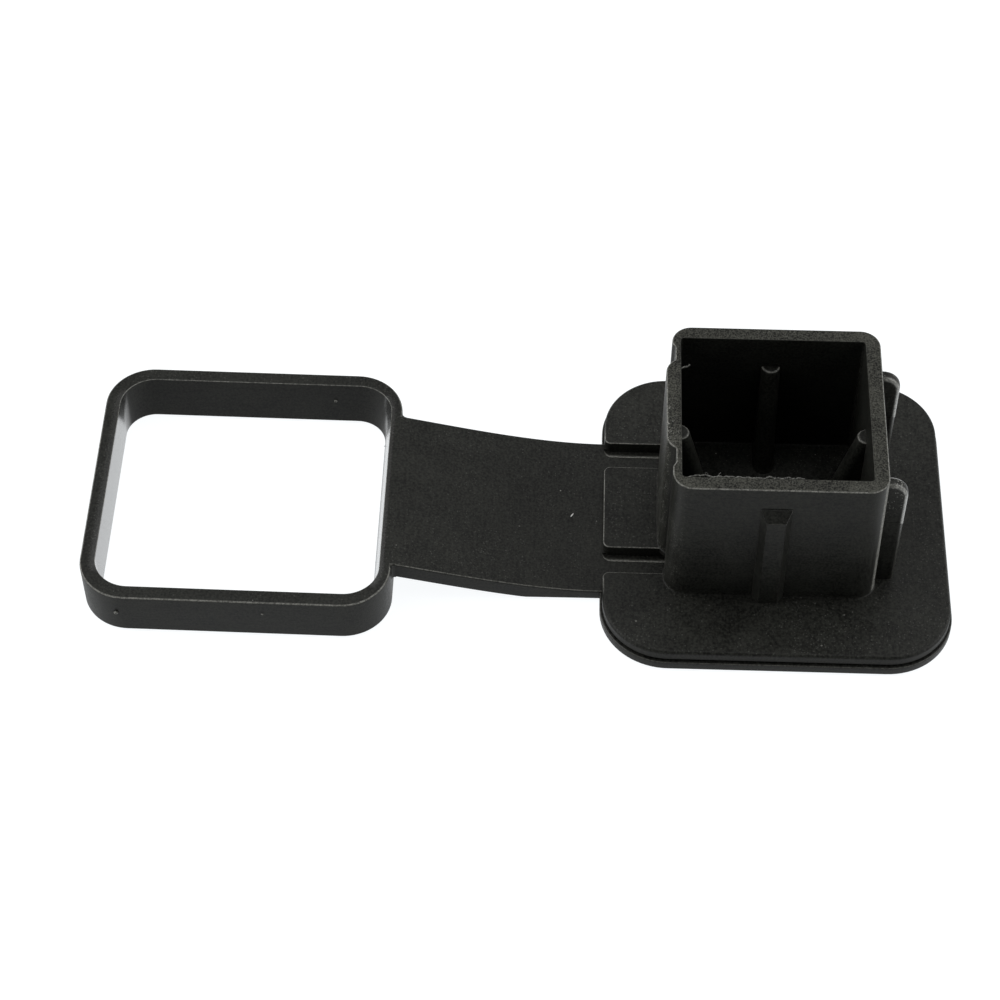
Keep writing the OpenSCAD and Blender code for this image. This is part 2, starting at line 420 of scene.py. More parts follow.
def gusset(angle, reach):
    def section(crest, grow):
        r = gusset_r + grow
        points = []
        for k in range(13):
            a = math.pi / 2 + math.pi * k / 12
            points.append((reach - crest + gusset_r + r * math.cos(a), r * math.sin(a)))
        return [(reach + 1.0, r)] + points + [(reach + 1.0, -r)]

    turned = Matrix.Rotation(math.radians(angle), 2)
    rings = []
    slope = (gusset_far - gusset_near) / (gusset_top_z - floor_z)
    levels = [(floor_z - 0.6, 0.5, 0), (floor_z + 0.1, 0.35, 0), (floor_z + 0.5, 0.08, 0)]
    levels += [(floor_z + 1.2, 0, 0), (15.0, 0, 0), (25.0, 0, 0), (gusset_top_z - 0.6, 0, 0)]
    # A painted highlight runs along the top of the crest
    levels += [(gusset_top_z - 0.2, -0.15, 0.9), (gusset_top_z, -0.55, 0.2)]
    for z, grow, shine in levels:
        crest = gusset_near + slope * (gusset_top_z - max(z, floor_z))
        flat = [turned @ Vector(p) for p in section(crest, grow)]
        rings.append(ring([(plug_x + p.x, p.y, z) for p in flat], shine))
    closed_form(rings)


for angle in (0, 90, 180, 270):
    gusset(angle, 21.5 if angle % 180 == 0 else 21.1)
print("gussets reach", gusset_far, "mm into the plug at its floor")

# %% [markdown]
# ## Strap and loop
#
# The strap is a flat band that rises in a soft curve from the flange to the top of the loop.
# The loop is one profile, thicker at its bottom edge, carried round a rounded square. A
# curve with a bevel could make both, but its section can't change on the way. So the strap
# is a row of sections, and the two grooves beside the channels end softly in them.

# %% Strap
strap_start, strap_length, strap_half, strap_thick = -41.0, 50.0, 23.0, 4.9
loop_top, loop_x = 12.25, -127.75


def sway(x):
    # The soft rubber lies a little out of true: strap and loop run off to one side
    u = (strap_start - x) / strap_length
    if u > 1.0:
        return -0.012 * (x - loop_x)
    return -0.44 * max(u, 0.0) ** 2 * (3 - 2 * max(u, 0.0))


def strap_top_z(u):
    u = max(u, 0.0)
    return web_top + 0.015 + (loop_top - web_top - 0.01) * u * u * (1.7 - 0.7 * u)


def groove_width(x):
    # The groove along a channel's wall has a round end at the flange's edge
    t = max((-39.1 - x) / 2.0, 0.0)
    return 2.15 * math.sqrt(max(1.0 - t * t, 0.0))


def strap_section(x):
    u = (strap_start - x) / strap_length
    top = min(strap_top_z(min(u, 1.0)), loop_top + 0.004)
    low = max(0.012, top - strap_thick)
    corners = [(strap_half, low, 0.5, 3), (strap_half, top, 0.6, 5), (-strap_half, top, 0.6, 5),
               (-strap_half, low, 0.5, 3)]
    points = [(p.x, p.y) for p in outline(corners)]
    wide = groove_width(x)
    deep = 0.49 * min(wide / 1.7, 1.0)
    grooves = []
    for wall in (tab_shift + tab_half + channel, tab_shift - tab_half):
        grooves += [(wall + 0.25, top), (wall + 0.2, top - deep)]
        grooves += [(wall - max(wide - 1.0, -0.1), top - deep)]
        grooves += [(wall - wide - 0.02, top - 0.08 * deep), (wall - wide - 0.14, top)]
    return points[:10] + grooves + points[10:]


strap_rings = []
stations = [-23.0, -30.0, -39.1, -39.7, -40.2, -40.6, -40.85, -41.0, -41.07, -41.12]
stations += [strap_start - strap_length * i / 36 for i in range(1, 37)] + [-92.7]
for x in stations:
    made = ring([(x, y + sway(x), z) for y, z in strap_section(x)])
    # Painted highlight lines along the strap's two top edges and in the grooves
    for k in (6, 7, 22, 23):
        made[k][edge_highlight_layer] = 0.7
    if groove_width(x) > 0:
        for k, value in ((12, 0.4), (13, 1.0), (17, 0.4), (18, 1.0)):
            made[k][edge_highlight_layer] = value
    strap_rings.append(made)
closed_form(strap_rings)
print("strap stations:", len(stations))

# %% Loop
loop_half_x, loop_half_y = 36.75, 35.8
loop_corners = rectangle(loop_x - loop_half_x, loop_x + loop_half_x, -loop_half_y, loop_half_y, 11.5, 18)
# The third value of each step paints a highlight along the loop's rounded edges
loop_profile = rounding(0.0, 0.45, top=False) + [(0.0, 6.0, 0.0)] + rounding(loop_top, 0.5)
inner_side = [(-2.95, loop_top, 0.3), (-3.12, loop_top - 0.07, 0.9), (-3.2, loop_top - 0.3, 0.2),
              (-3.72, 6.0, 0.0), (-4.27, 0.35, 0.2), (-4.2, 0.1, 0.9), (-3.95, 0.0, 0.3)]
loop_rings = []
for grow, z, shine in loop_profile:
    loop_rings.append(ring([(p.x, p.y + sway(p.x), z) for p in outline(loop_corners, grow)], shine))
for grow, z, shine in inner_side:
    lean = 0.9 * z / loop_top - 0.45
    thicker = 1 - 0.45 / (loop_half_y - 3.2)
    inner_line = [(p.x + lean, p.y * thicker + sway(p.x), z) for p in outline(loop_corners, grow)]
    loop_rings.append(ring(inner_line, shine))
for made in loop_rings[len(loop_profile):]:
    for vert in made:
        vert[polish_layer] = clamp(abs(vert.co.x / MM - loop_x) - 31.6, low=0.15)
loop_faces = skin(loop_rings, closed=True)
bmesh.ops.recalc_face_normals(rubber, faces=loop_faces)
print("loop over all in mm:", 2 * loop_half_x, "by", 2 * loop_half_y)

# %% Small round corners where the strap leaves the loop
joint_x, joint_radius = loop_x + loop_half_x, 1.1
for side in (-1, 1):
    corner = [(joint_x - 0.6, strap_half - 0.6)]
    for k in range(7):
        a = math.pi / 2 * k / 6
        x = joint_x + joint_radius * (1 - math.cos(a))
        corner.append((x, strap_half + joint_radius * (1 - math.sin(a))))
    levels = []
    for down, grow in [(strap_thick - 0.1, 0.0), (0.35, 0.0), (0.03, -0.2)]:
        points = []
        for k, (x, y) in enumerate(corner):
            top = min(strap_top_z((strap_start - x) / strap_length), loop_top - 0.03)
            inset = grow if k else 0.0
            points.append((x + inset, side * (y + inset) + sway(x), top - down))
        # A painted highlight runs along the round corner's top edge
        levels.append(ring(points, 0.5 if down < 0.2 else 0.0))
    closed_form(levels)
print("radius between strap and loop in mm:", joint_radius)

# %% Small moulding pips on the loop
def pip(centre, outward, radius, height):
    across = Vector((1, 0, 0))
    up = Vector((0, 0, 1))
    rings = []
    # The pips' tops carry a painted highlight
    for r, h, shine in [(1.0, -0.3, 0), (1.0, 0.0, 0.6), (0.9, 0.7, 1), (0.55, 1.0, 1), (0.25, 0.8, 0.6)]:
        points = []
        for k in range(14):
            a = 2 * math.pi * k / 14
            flat = across * (radius * r * math.cos(a)) + up * (radius * r * math.sin(a))
            points.append(Vector(centre) + flat + Vector(outward) * (height * h))
        rings.append(ring(points, shine))
    closed_form(rings)


pip((-155.1, sway(-155.1) - loop_half_y, 6.5), (0, -1, 0), 0.55, 0.3)
pip((-120.5, sway(-120.5) - loop_half_y, 8.0), (0, -1, 0), 0.3, 0.15)
pip((-108.3, sway(-108.3) + loop_half_y - 4.15, 7.0), (0, -1, 0), 0.45, 0.3)
print("pips on the loop: 3")

# %% [markdown]
# ## One piece of rubber
#
# The collected forms become one mesh, as they are one moulding. Subdividing it would soften
# every corner. Smooth shading with area-weighted normals keeps the flat faces flat instead,
# and lets the narrow round edges catch the light.

# %% Make the mesh
def finished(obj):
    depsgraph = bpy.context.evaluated_depsgraph_get()
    baked = bpy.data.meshes.new_from_object(obj.evaluated_get(depsgraph), depsgraph=depsgraph)
    obj.modifiers.clear()
    obj.data = baked
    return obj


cover_mesh = bpy.data.meshes.new("moulded_cover")
rubber.to_mesh(cover_mesh)
rubber.free()
cover = bpy.data.objects.new("moulded_cover", cover_mesh)
bpy.context.scene.collection.objects.link(cover)
cover_mesh.shade_smooth()
cover_mesh.set_sharp_from_angle(angle=math.radians(38))
weighted = cover.modifiers.new("flat faces", "WEIGHTED_NORMAL")
weighted.keep_sharp = True
weighted.weight = 80
finished(cover)
print("faces of the cover:", len(cover.data.polygons))

# %% [markdown]
# ## Effects that the finishes share
#
# Black rubber is never one flat colour. It has a fine moulded grain, pale dust that sticks
# to it and faint streaks where it slid out of the mould. Its edges get a painted highlight: a
# lighter colour that stands in for the light they catch. These could be painted as images,
# but then they would blur up close. So each is a node group that gives out only values, and
# every pattern reads Object coordinates, so it stays where it is from every side.

# %% Helpers for node groups
def group(name, inputs, outputs):
    tree = bpy.data.node_groups.new(name, "ShaderNodeTree")
    for label, value in inputs:
        socket = tree.interface.new_socket(name=label, in_out="INPUT", socket_type="NodeSocketFloat")
        socket.default_value = value
    for label in outputs:
        tree.interface.new_socket(name=label, in_out="OUTPUT", socket_type="NodeSocketFloat")
    return tree, tree.nodes.new("NodeGroupInput"), tree.nodes.new("NodeGroupOutput")


def node(tree, kind, **settings):
    made = tree.nodes.new(kind)
    for key, value in settings.items():
        setattr(made, key, value)
    return made


def feed(tree, socket, value):
    if isinstance(value, bpy.types.NodeSocket):
        tree.links.new(value, socket)
    else:
        socket.default_value = value


def math_node(tree, operation, a, b=0.0, clamped=False):
    made = node(tree, "ShaderNodeMath", operation=operation, use_clamp=clamped)
    feed(tree, made.inputs[0], a)
    feed(tree, made.inputs[1], b)
    return made.outputs[0]


def times(tree, a, b, clamped=False):
    return math_node(tree, "MULTIPLY", a, b, clamped)


def plus(tree, a, b, clamped=False):
    return math_node(tree, "ADD", a, b, clamped)


def ramp(tree, value, low, high, to_low=0.0, to_high=1.0):
    made = node(tree, "ShaderNodeMapRange", interpolation_type="SMOOTHSTEP")
    feed(tree, made.inputs["Value"], value)
    feed(tree, made.inputs["From Min"], low)
    feed(tree, made.inputs["From Max"], high)
    feed(tree, made.inputs["To Min"], to_low)
    feed(tree, made.inputs["To Max"], to_high)
    return made.outputs["Result"]


def object_place(tree):
    return node(tree, "ShaderNodeTexCoord").outputs["Object"]


def noise(tree, scale, detail, rough, vector=None):
    made = node(tree, "ShaderNodeTexNoise")
    feed(tree, made.inputs["Scale"], scale)
    made.inputs["Detail"].default_value = detail
    made.inputs["Roughness"].default_value = rough
    tree.links.new(vector or object_place(tree), made.inputs["Vector"])
    return made.outputs["Fac"]


# %% Moulded grain: a height for the bump and a mottle for the colour
grain_scales = [("Fine scale", 2600.0), ("Broad scale", 1800.0)]
grain_tree, grain_in, grain_out = group("moulded_grain", grain_scales, ["Height", "Mottle"])
fine_grain = noise(grain_tree, grain_in.outputs["Fine scale"], 3.0, 0.6)
broad_grain = noise(grain_tree, grain_in.outputs["Broad scale"], 4.0, 0.6)
grain_height = plus(grain_tree, fine_grain, times(grain_tree, broad_grain, 1.4))
grain_tree.links.new(grain_height, grain_out.inputs["Height"])
clouds = ramp(grain_tree, noise(grain_tree, 110.0, 3.0, 0.6), 0.35, 0.65)
fine_share, cloud_share = 0.75, 0.25
mottle = times(grain_tree, ramp(grain_tree, broad_grain, 0.36, 0.64), fine_share)
mottle = plus(grain_tree, mottle, times(grain_tree, clouds, cloud_share))
grain_tree.links.new(mottle, grain_out.inputs["Mottle"])
print("nodes in the grain:", len(grain_tree.nodes))

# %% Stuck dust: specks of different size, some paler, that gather in drifts
dust_values = [("Scale", 420.0), ("Size", 0.1), ("Share", 0.1)]
dust_tree, dust_in, dust_out = group("stuck_dust", dust_values, ["Mask"])
cells = node(dust_tree, "ShaderNodeTexVoronoi", feature="F1")
dust_tree.links.new(object_place(dust_tree), cells.inputs["Vector"])
dust_tree.links.new(dust_in.outputs["Scale"], cells.inputs["Scale"])
chance = node(dust_tree, "ShaderNodeSeparateColor")
dust_tree.links.new(cells.outputs["Color"], chance.inputs["Color"])
drift = ramp(dust_tree, noise(dust_tree, 70.0, 4.0, 0.65), 0.42, 0.62, 0.1, 2.0)
drift_share = times(dust_tree, dust_in.outputs["Share"], drift)
kept = math_node(dust_tree, "LESS_THAN", chance.outputs[0], drift_share)
speck_size = times(dust_tree, dust_in.outputs["Size"], plus(dust_tree, chance.outputs[1], 0.4))
near = math_node(dust_tree, "LESS_THAN", cells.outputs["Distance"], speck_size)
paleness = plus(dust_tree, times(dust_tree, chance.outputs[2], 0.85), 0.15)
shown = times(dust_tree, times(dust_tree, near, kept), paleness)
dust_tree.links.new(shown, dust_out.inputs["Mask"])
print("nodes in the dust:", len(dust_tree.nodes))

# %% Mould streaks: noise that is drawn out along one direction
streak_values = [("Across", 2200.0), ("Along", 240.0)]
streak_tree, streak_in, streak_out = group("mould_streaks", streak_values, ["Mask"])
stretch = node(streak_tree, "ShaderNodeCombineXYZ")
streak_tree.links.new(streak_in.outputs["Across"], stretch.inputs["X"])
streak_tree.links.new(streak_in.outputs["Along"], stretch.inputs["Y"])
streak_tree.links.new(streak_in.outputs["Along"], stretch.inputs["Z"])
drawn = node(streak_tree, "ShaderNodeVectorMath", operation="MULTIPLY")
streak_tree.links.new(object_place(streak_tree), drawn.inputs[0])
streak_tree.links.new(stretch.outputs[0], drawn.inputs[1])
streak_noise = noise(streak_tree, 1.0, 3.0, 0.6, drawn.outputs[0])
streak_tree.links.new(ramp(streak_tree, streak_noise, 0.35, 0.68), streak_out.inputs["Mask"])
print("nodes in the streaks:", len(streak_tree.nodes))

# %% Painted edge highlights: the marked edges, broken up by a fine noise
edge_highlight_tree, edge_in, edge_out = group("painted_edge_highlight", [("Breakup scale", 1700.0)], ["Mask"])
marked = node(edge_highlight_tree, "ShaderNodeAttribute", attribute_name="edge")
breakup = noise(edge_highlight_tree, edge_in.outputs["Breakup scale"], 4.0, 0.75)
highlight_breakup = ramp(edge_highlight_tree, breakup, 0.4, 0.6, 0.35, 1.0)
crest = ramp(edge_highlight_tree, marked.outputs["Fac"], 0.25, 1.0)
edge_highlight_tree.links.new(times(edge_highlight_tree, crest, highlight_breakup, True), edge_out.inputs["Mask"])
print("shared effects:", grain_tree.name, dust_tree.name, streak_tree.name, edge_highlight_tree.name)

# %% [markdown]
# ## Black rubber
#
# The cover has a satin, slightly mottled skin where the mould was smooth. The plug's rim is
# different: it was trimmed, so it is matt, paler and full of specks, and the grip pad's face
# is rough too. The tops of the fins and the highlighted corners get the same paler, speckled
# colour as painted light, and the rounded edges get a painted highlight. They could be
# separate materials, but it is all the same rubber and the change is gradual. So one material
# carries everything, with masks from the height above the floor and from the values kept at
# the mesh's points. Dust lies on the surfaces that face up, and gathers at the foot of the
# plug's right front corner.

# %% Helpers for the finishes
def use_group(tree, source, **values):
    made = node(tree, "ShaderNodeGroup", node_tree=source)
    for key, value in values.items():
        feed(tree, made.inputs[key.replace("_", " ")], value)
    return made


def mix_colour(tree, factor, a, b):
    made = node(tree, "ShaderNodeMix", data_type="RGBA")
    feed(tree, made.inputs["Factor"], factor)
    feed(tree, made.inputs["A"], a)
    feed(tree, made.inputs["B"], b)
    return made.outputs["Result"]


def spot(tree, centre, size, turn, inner, outer, most):
    # An oval patch around one place, that fades out between its inner and outer limit
    made = node(tree, "ShaderNodeMapping", vector_type="TEXTURE")
    tree.links.new(object_place(tree), made.inputs["Vector"])
    made.inputs["Location"].default_value = centre
    made.inputs["Rotation"].default_value = (0, 0, turn)
    made.inputs["Scale"].default_value = size
    far = node(tree, "ShaderNodeVectorMath", operation="LENGTH")
    tree.links.new(made.outputs["Vector"], far.inputs[0])
    return ramp(tree, far.outputs["Value"], inner, outer, most, 0.0)


rubber_finish = bpy.data.materials.new("black_rubber")
rubber_finish.use_nodes = True
rt = rubber_finish.node_tree
shader = rt.nodes["Principled BSDF"]
print("material:", rubber_finish.name)

# %% Masks: where the rubber was trimmed, where it is painted lighter, where it faces up, where dust lies
place = node(rt, "ShaderNodeSeparateXYZ")
rt.links.new(object_place(rt), place.inputs["Vector"])
rim_mask = ramp(rt, place.outputs["Z"], 0.04455, 0.04466)
trim_and_light = node(rt, "ShaderNodeAttribute", attribute_name="trim_and_light").outputs["Fac"]
polish = node(rt, "ShaderNodeAttribute", attribute_name="polish").outputs["Fac"]
# Trimmed rubber on the rim and the pad's face; on the corners and the fins' tops the same paler colour is
# painted light
trim_and_light_share = math_node(rt, "MAXIMUM", rim_mask, times(rt, trim_and_light, 0.55))
facing = node(rt, "ShaderNodeSeparateXYZ")
rt.links.new(node(rt, "ShaderNodeNewGeometry").outputs["True Normal"], facing.inputs["Vector"])
upward = ramp(rt, facing.outputs["Z"], 0.1, 0.8)
settled = plus(rt, times(rt, upward, 0.9), 0.1)
edge_highlight = use_group(rt, edge_highlight_tree).outputs["Mask"]


def specks(scale, size, share):
    return use_group(rt, dust_tree, Scale=scale, Size=size, Share=share).outputs["Mask"]


dust = specks(560.0, 0.06, 0.14)
fine_dust = specks(1700.0, 0.24, 0.5)
crumbs = specks(210.0, 0.04, 0.3)
lint = specks(85.0, 0.024, 0.18)
foot_dust = specks(900.0, 0.15, 0.45)
rim_specks = specks(2600.0, 0.3, 0.3)
coarse_specks = specks(2300.0, 0.3, 0.5)
at_foot = spot(rt, (0.015, -0.0275, 0.0058), (0.016, 0.006, 0.004), 0.0, 0.3, 1.0, 0.75)
one_thread = spot(rt, (-0.0486, -0.0003, 0.0035), (0.00075, 0.00016, 0.001), 1.05, 0.7, 1.1, 1.0)
print("nodes for the masks:", len(rt.nodes))

# %% Colour: skin and trimmed rubber, then specks, painted edge highlights and dust over them
grain = use_group(rt, grain_tree)
cut_grain = use_group(rt, grain_tree, Broad_scale=2500.0)
skin_dark, skin_light = (0.003, 0.0031, 0.0027, 1), (0.0222, 0.023, 0.0195, 1)
# Colours of trimmed rubber, also used as painted light on the corners and the fins' tops
trim_and_light_dark, trim_and_light_pale, trim_and_light_speck = (0.002, 0.002, 0.0018, 1), (0.066, 0.0665, 0.056, 1), (0.2, 0.2, 0.18, 1)
streak_pale = (0.036, 0.037, 0.033, 1)

streaks = times(rt, use_group(rt, streak_tree).outputs["Mask"], upward)
wall_streaks = use_group(rt, streak_tree, Across=130.0, Along=1700.0).outputs["Mask"]
streaks = plus(rt, streaks, times(rt, wall_streaks, math_node(rt, "SUBTRACT", 1.0, upward)))
skin_colour = mix_colour(rt, grain.outputs["Mottle"], skin_dark, skin_light)
skin_colour = mix_colour(rt, times(rt, streaks, 0.16), skin_colour, streak_pale)
trim_and_light_colour = mix_colour(rt, cut_grain.outputs["Mottle"], trim_and_light_dark, trim_and_light_pale)
trim_and_light_colour = mix_colour(rt, times(rt, rim_specks, 0.6), trim_and_light_colour, trim_and_light_speck)
colour = mix_colour(rt, trim_and_light_share, skin_colour, trim_and_light_colour)
layers = [
    # Pale specks where the paler colour is kept, partly painted light on the corners and the fins' tops
    (times(rt, coarse_specks, trim_and_light), (0.36, 0.36, 0.33, 1)),
    # Painted highlight along the marked edges
    (times(rt, edge_highlight, 0.8), (0.3, 0.3, 0.275, 1)),
    (times(rt, fine_dust, times(rt, settled, 0.22)), (0.16, 0.162, 0.15, 1)),
    (times(rt, dust, times(rt, settled, 0.22)), (0.4, 0.4, 0.38, 1)),
    (times(rt, foot_dust, at_foot), (0.3, 0.3, 0.28, 1)),
    (times(rt, crumbs, times(rt, settled, 0.8)), (0.36, 0.36, 0.33, 1)),
    (math_node(rt, "MAXIMUM", lint, one_thread), (0.6, 0.6, 0.58, 1)),
]
for amount, tone in layers:
    colour = mix_colour(rt, amount, colour, tone)
rt.links.new(colour, shader.inputs["Base Color"])
print("layers of colour over the rubber:", len(layers))

# %% Gloss and relief
shader.inputs["Specular IOR Level"].default_value = 0.15
shader.inputs["Coat Roughness"].default_value = 0.2
roughness = ramp(rt, grain.outputs["Mottle"], 0.0, 1.0, 0.36, 0.5)
roughness = plus(rt, roughness, times(rt, rim_mask, 0.3), True)
roughness = times(rt, roughness, ramp(rt, polish, 0.0, 1.0, 1.0, 0.45))
rt.links.new(roughness, shader.inputs["Roughness"])
rt.links.new(ramp(rt, polish, 0.3, 1.0, 0.0, 1.0), shader.inputs["Coat Weight"])
bump = node(rt, "ShaderNodeBump")
bump.inputs["Strength"].default_value = 0.3
bump.inputs["Distance"].default_value = 0.00006
specks_height = times(rt, times(rt, rim_specks, rim_mask), 1.5)
rt.links.new(plus(rt, grain.outputs["Height"], specks_height), bump.inputs["Height"])
rt.links.new(bump.outputs["Normal"], shader.inputs["Normal"])
cover.data.materials.clear()
cover.data.materials.append(rubber_finish)
print("nodes in the rubber material:", len(rt.nodes))

# %% [markdown]
# ## Flash left by trimming
#
# Where the rim was trimmed, thin curls of rubber are left along its inner edge, and one
# bright shred stands out at the back. A ragged line of them also lies inside the loop, on
# the strap's side. They could be drawn one by one, but curls like these repeat with small
# differences, so Geometry Nodes make them: a ragged thread runs along a guide line, and
# short bent hairs are placed on it at random, with a fixed seed. A ceiling keeps them below
# the top of the plug.

# %% Inputs of the flash
flash_tree = bpy.data.node_groups.new("trimmed_flash", "GeometryNodeTree")
sides = flash_tree.interface
sides.new_socket(name="Guide", in_out="INPUT", socket_type="NodeSocketGeometry")
flash_sockets = {}
flash_inputs = [
    ("Thread radius", "NodeSocketFloat", 0.00012),
    ("Raggedness", "NodeSocketFloat", 0.0006),
    ("Hairs", "NodeSocketInt", 40),
    ("Hair length", "NodeSocketFloat", 0.0007),
    ("Ceiling", "NodeSocketFloat", 0.0447),
    ("Seed", "NodeSocketInt", 7),
    ("Finish", "NodeSocketMaterial", None),
]
for label, kind, value in flash_inputs:
    socket = sides.new_socket(name=label, in_out="INPUT", socket_type=kind)
    if value is not None:
        socket.default_value = value
    flash_sockets[label] = socket.identifier
sides.new_socket(name="Flash", in_out="OUTPUT", socket_type="NodeSocketGeometry")
given = node(flash_tree, "NodeGroupInput")
made_out = node(flash_tree, "NodeGroupOutput")
link = flash_tree.links.new
print("inputs of the flash:", list(flash_sockets))

# %% Ragged thread along the guide
line = node(flash_tree, "GeometryNodeMeshToCurve")
link(given.outputs["Guide"], line.inputs["Mesh"])
fine_line = node(flash_tree, "GeometryNodeResampleCurve")
fine_line.inputs["Count"].default_value = 90
link(line.outputs["Curve"], fine_line.inputs["Curve"])
wobble = node(flash_tree, "ShaderNodeTexNoise")
wobble.inputs["Scale"].default_value = 900.0
centred = node(flash_tree, "ShaderNodeVectorMath", operation="SUBTRACT")
link(wobble.outputs["Color"], centred.inputs[0])
centred.inputs[1].default_value = (0.5, 0.5, 0.5)
moved = node(flash_tree, "ShaderNodeVectorMath", operation="SCALE")
link(centred.outputs[0], moved.inputs[0])
link(given.outputs["Raggedness"], moved.inputs["Scale"])
ragged = node(flash_tree, "GeometryNodeSetPosition")
link(fine_line.outputs["Curve"], ragged.inputs["Geometry"])
link(moved.outputs[0], ragged.inputs["Offset"])
thickness = node(flash_tree, "ShaderNodeTexNoise")
thickness.inputs["Scale"].default_value = 1400.0
swell = node(flash_tree, "ShaderNodeMapRange")
link(thickness.outputs["Fac"], swell.inputs["Value"])
for label, value in [("From Min", 0.35), ("From Max", 0.65), ("To Min", 0.0), ("To Max", 1.0)]:
    swell.inputs[label].default_value = value
swelled = node(flash_tree, "GeometryNodeSetCurveRadius")
link(ragged.outputs["Geometry"], swelled.inputs["Curve"])
link(swell.outputs["Result"], swelled.inputs["Radius"])
section = node(flash_tree, "GeometryNodeCurvePrimitiveCircle")
section.inputs["Resolution"].default_value = 5
link(given.outputs["Thread radius"], section.inputs["Radius"])
thread = node(flash_tree, "GeometryNodeCurveToMesh")
link(swelled.outputs["Curve"], thread.inputs["Curve"])
link(section.outputs["Curve"], thread.inputs["Profile Curve"])
thread.inputs["Fill Caps"].default_value = True

# %% Hairs on the thread
hair_line = node(flash_tree, "GeometryNodeCurvePrimitiveBezierSegment")
hair_line.inputs["Resolution"].default_value = 5
hair_bend = [("Start", (0, 0, 0)), ("Start Handle", (0.0, 0.7, 0.2)), ("End Handle", (0.6, 1.1, 0.4)),
             ("End", (0.7, 0.3, 0.1))]
for label, place_at in hair_bend:
    hair_line.inputs[label].default_value = place_at
hair_section = node(flash_tree, "GeometryNodeCurvePrimitiveCircle")
hair_section.inputs["Resolution"].default_value = 4
hair_section.inputs["Radius"].default_value = 0.05
hair = node(flash_tree, "GeometryNodeCurveToMesh")
link(hair_line.outputs["Curve"], hair.inputs["Curve"])
link(hair_section.outputs["Curve"], hair.inputs["Profile Curve"])
hair.inputs["Fill Caps"].default_value = True
spots = node(flash_tree, "GeometryNodeCurveToPoints")
link(ragged.outputs["Geometry"], spots.inputs["Curve"])
link(given.outputs["Hairs"], spots.inputs["Count"])
turned_by = node(flash_tree, "FunctionNodeRandomValue", data_type="FLOAT_VECTOR")
turned_by.inputs["Min"].default_value = (-0.25, -3.1, -2.4)
turned_by.inputs["Max"].default_value = (0.25, 3.1, 2.4)
link(given.outputs["Seed"], turned_by.inputs["Seed"])
sized_by = node(flash_tree, "FunctionNodeRandomValue", data_type="FLOAT")
sized_by.inputs[2].default_value = 0.1
sized_by.inputs[3].default_value = 1.0
link(given.outputs["Seed"], sized_by.inputs["Seed"])
long = node(flash_tree, "ShaderNodeMath", operation="MULTIPLY")
link(sized_by.outputs[1], long.inputs[0])
link(given.outputs["Hair length"], long.inputs[1])
placed = node(flash_tree, "GeometryNodeInstanceOnPoints")
link(spots.outputs["Points"], placed.inputs["Points"])
link(hair.outputs["Mesh"], placed.inputs["Instance"])
link(turned_by.outputs[0], placed.inputs["Rotation"])
link(long.outputs[0], placed.inputs["Scale"])
joined = node(flash_tree, "GeometryNodeJoinGeometry")
link(thread.outputs["Mesh"], joined.inputs[0])
link(placed.outputs["Instances"], joined.inputs[0])
real = node(flash_tree, "GeometryNodeRealizeInstances")
link(joined.outputs[0], real.inputs[0])
here = node(flash_tree, "ShaderNodeSeparateXYZ")
link(node(flash_tree, "GeometryNodeInputPosition").outputs[0], here.inputs[0])
below = node(flash_tree, "ShaderNodeMath", operation="MINIMUM")
link(here.outputs["Z"], below.inputs[0])
link(given.outputs["Ceiling"], below.inputs[1])
above = node(flash_tree, "ShaderNodeMath", operation="MAXIMUM")
link(below.outputs[0], above.inputs[0])
above.inputs[1].default_value = 0.00005
limited = node(flash_tree, "ShaderNodeCombineXYZ")
link(here.outputs["X"], limited.inputs["X"])
link(here.outputs["Y"], limited.inputs["Y"])
link(above.outputs[0], limited.inputs["Z"])
lowered = node(flash_tree, "GeometryNodeSetPosition")
link(real.outputs[0], lowered.inputs["Geometry"])
link(limited.outputs[0], lowered.inputs["Position"])
finish_set = node(flash_tree, "GeometryNodeSetMaterial")
link(lowered.outputs[0], finish_set.inputs["Geometry"])
link(given.outputs["Finish"], finish_set.inputs["Material"])
link(finish_set.outputs[0], made_out.inputs["Flash"])
print("nodes in the flash tree:", len(flash_tree.nodes))

# %% Finish of the torn rubber
flash_finish = bpy.data.materials.new("torn_rubber")
flash_finish.use_nodes = True
tt = flash_finish.node_tree
torn = tt.nodes["Principled BSDF"]
torn_grain = use_group(tt, grain_tree, Broad_scale=2400.0)
torn_dark, torn_light = (0.012, 0.012, 0.011, 1), (0.17, 0.17, 0.155, 1)
tt.links.new(mix_colour(tt, torn_grain.outputs["Mottle"], torn_dark, torn_light), torn.inputs["Base Color"])
torn.inputs["Roughness"].default_value = 0.6
torn.inputs["Specular IOR Level"].default_value = 0.3
print("material:", flash_finish.name)

# %% Lay the flash along its guide lines
def flash(name, guide, **values):
    guide_mesh = bpy.data.meshes.new(name)
    edges = [(k, k + 1) for k in range(len(guide) - 1)]
    guide_mesh.from_pydata([Vector(p) * MM for p in guide], edges, [])
    piece = bpy.data.objects.new(name, guide_mesh)
    bpy.context.scene.collection.objects.link(piece)
    modifier = piece.modifiers.new("flash", "NODES")
    modifier.node_group = flash_tree
    values["Finish"] = flash_finish
    for label, value in values.items():
        modifier[flash_sockets[label.replace("_", " ")]] = value
    finished(piece)
    piece.data.shade_smooth()
    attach(piece, "root")
    print(name, "faces:", len(piece.data.polygons))


